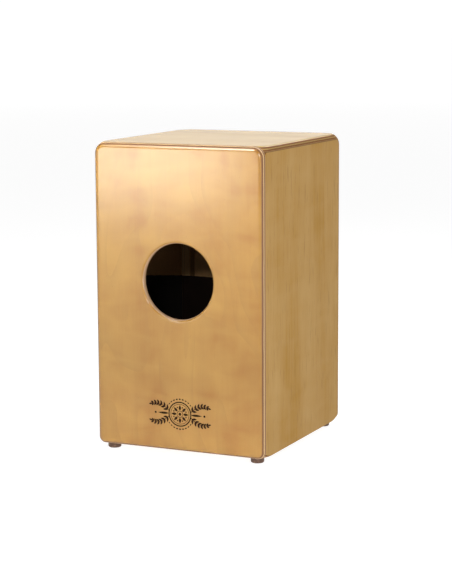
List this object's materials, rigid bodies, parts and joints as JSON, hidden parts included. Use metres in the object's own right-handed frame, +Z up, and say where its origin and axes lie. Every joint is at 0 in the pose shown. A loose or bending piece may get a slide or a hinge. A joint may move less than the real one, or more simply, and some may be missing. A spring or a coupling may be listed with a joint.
{
  "type": "cajon",
  "caption": "Seated box drum: plywood box on rubber feet, round rear sound hole, thin front playing plate, inner snare strings tuned by bolts from below.",
  "frame": {"origin": "on the ground at the middle of the footprint", "axes": "+Z up, +Y to the front (playing plate), -Y to the rear (sound hole), +X to the seated player's right"},
  "size_m": [0.29, 0.3124, 0.491],
  "materials": {
    "seat_ply": "satin clear lacquer on birch plywood",
    "base_ply": "satin clear lacquer on birch plywood",
    "side_ply": "satin clear lacquer on birch plywood",
    "rear_ply": "satin honey lacquer on birch plywood",
    "tapa_ply": "satin clear lacquer on thin birch plywood",
    "batten_wood": "raw sawn softwood",
    "screw_steel": "zinc plated",
    "foot_rubber": "matte dark brown",
    "felt": "dark wool felt",
    "string_steel": "plain steel wire",
    "brass": "turned, unpolished"
  },
  "bodies": {
    "box": {"top_board": "seat_ply", "bottom_board": "base_ply", "left_side_board": "side_ply", "right_side_board": "side_ply", "rear_panel": "rear_ply", "tapa": "tapa_ply", "top_left_batten": "batten_wood", "top_right_batten": "batten_wood", "bottom_left_batten": "batten_wood", "bottom_right_batten": "batten_wood", "top_front_rail": "batten_wood", "bottom_front_rail": "batten_wood", "left_front_rail": "batten_wood", "right_front_rail": "batten_wood", "tapa_screws": "screw_steel", "foot_screws": "screw_steel", "foot_washers": "screw_steel", "string_pins": "screw_steel", "guide_pins": "screw_steel", "bolt_washers": "screw_steel", "rear_left_foot": "foot_rubber", "rear_right_foot": "foot_rubber", "front_left_foot": "foot_rubber", "front_right_foot": "foot_rubber", "felt_screen": "felt", "left_felt": "felt", "right_felt": "felt", "left_string": "string_steel", "right_string": "string_steel", "string_loops": "brass", "left_bushing": "brass", "right_bushing": "brass"},
    "left_bolt": {"left_tension_bolt": "screw_steel"},
    "right_bolt": {"right_tension_bolt": "screw_steel"},
    "left_block": {"left_tension_block": "brass", "left_clamp_screws": "screw_steel"},
    "right_block": {"right_tension_block": "brass", "right_clamp_screws": "screw_steel"}
  },
  "joints": [
    {"name": "left_block_slide", "type": "slide", "parent": "box", "child": "left_block", "axis": [0, 0, 1], "range_m": [-0.002, 0.003], "deforming": ["left_string"]},
    {"name": "left_bolt_turn", "type": "hinge", "parent": "box", "child": "left_bolt", "pos_m": [-0.045, 0.14275, 0.03], "axis": [0, 0, 1], "range_deg": [-1085, 725]},
    {"name": "right_block_slide", "type": "slide", "parent": "box", "child": "right_block", "axis": [0, 0, 1], "range_m": [-0.002, 0.003], "deforming": ["right_string"]},
    {"name": "right_bolt_turn", "type": "hinge", "parent": "box", "child": "right_bolt", "pos_m": [0.045, 0.14275, 0.03], "axis": [0, 0, 1], "range_deg": [-1085, 725]}
  ],
  "couplings": [
    {"joint": "left_bolt_turn", "follows": "left_block_slide", "rad_per_m": -6283.2},
    {"joint": "right_bolt_turn", "follows": "right_block_slide", "rad_per_m": -6283.2}
  ]
}
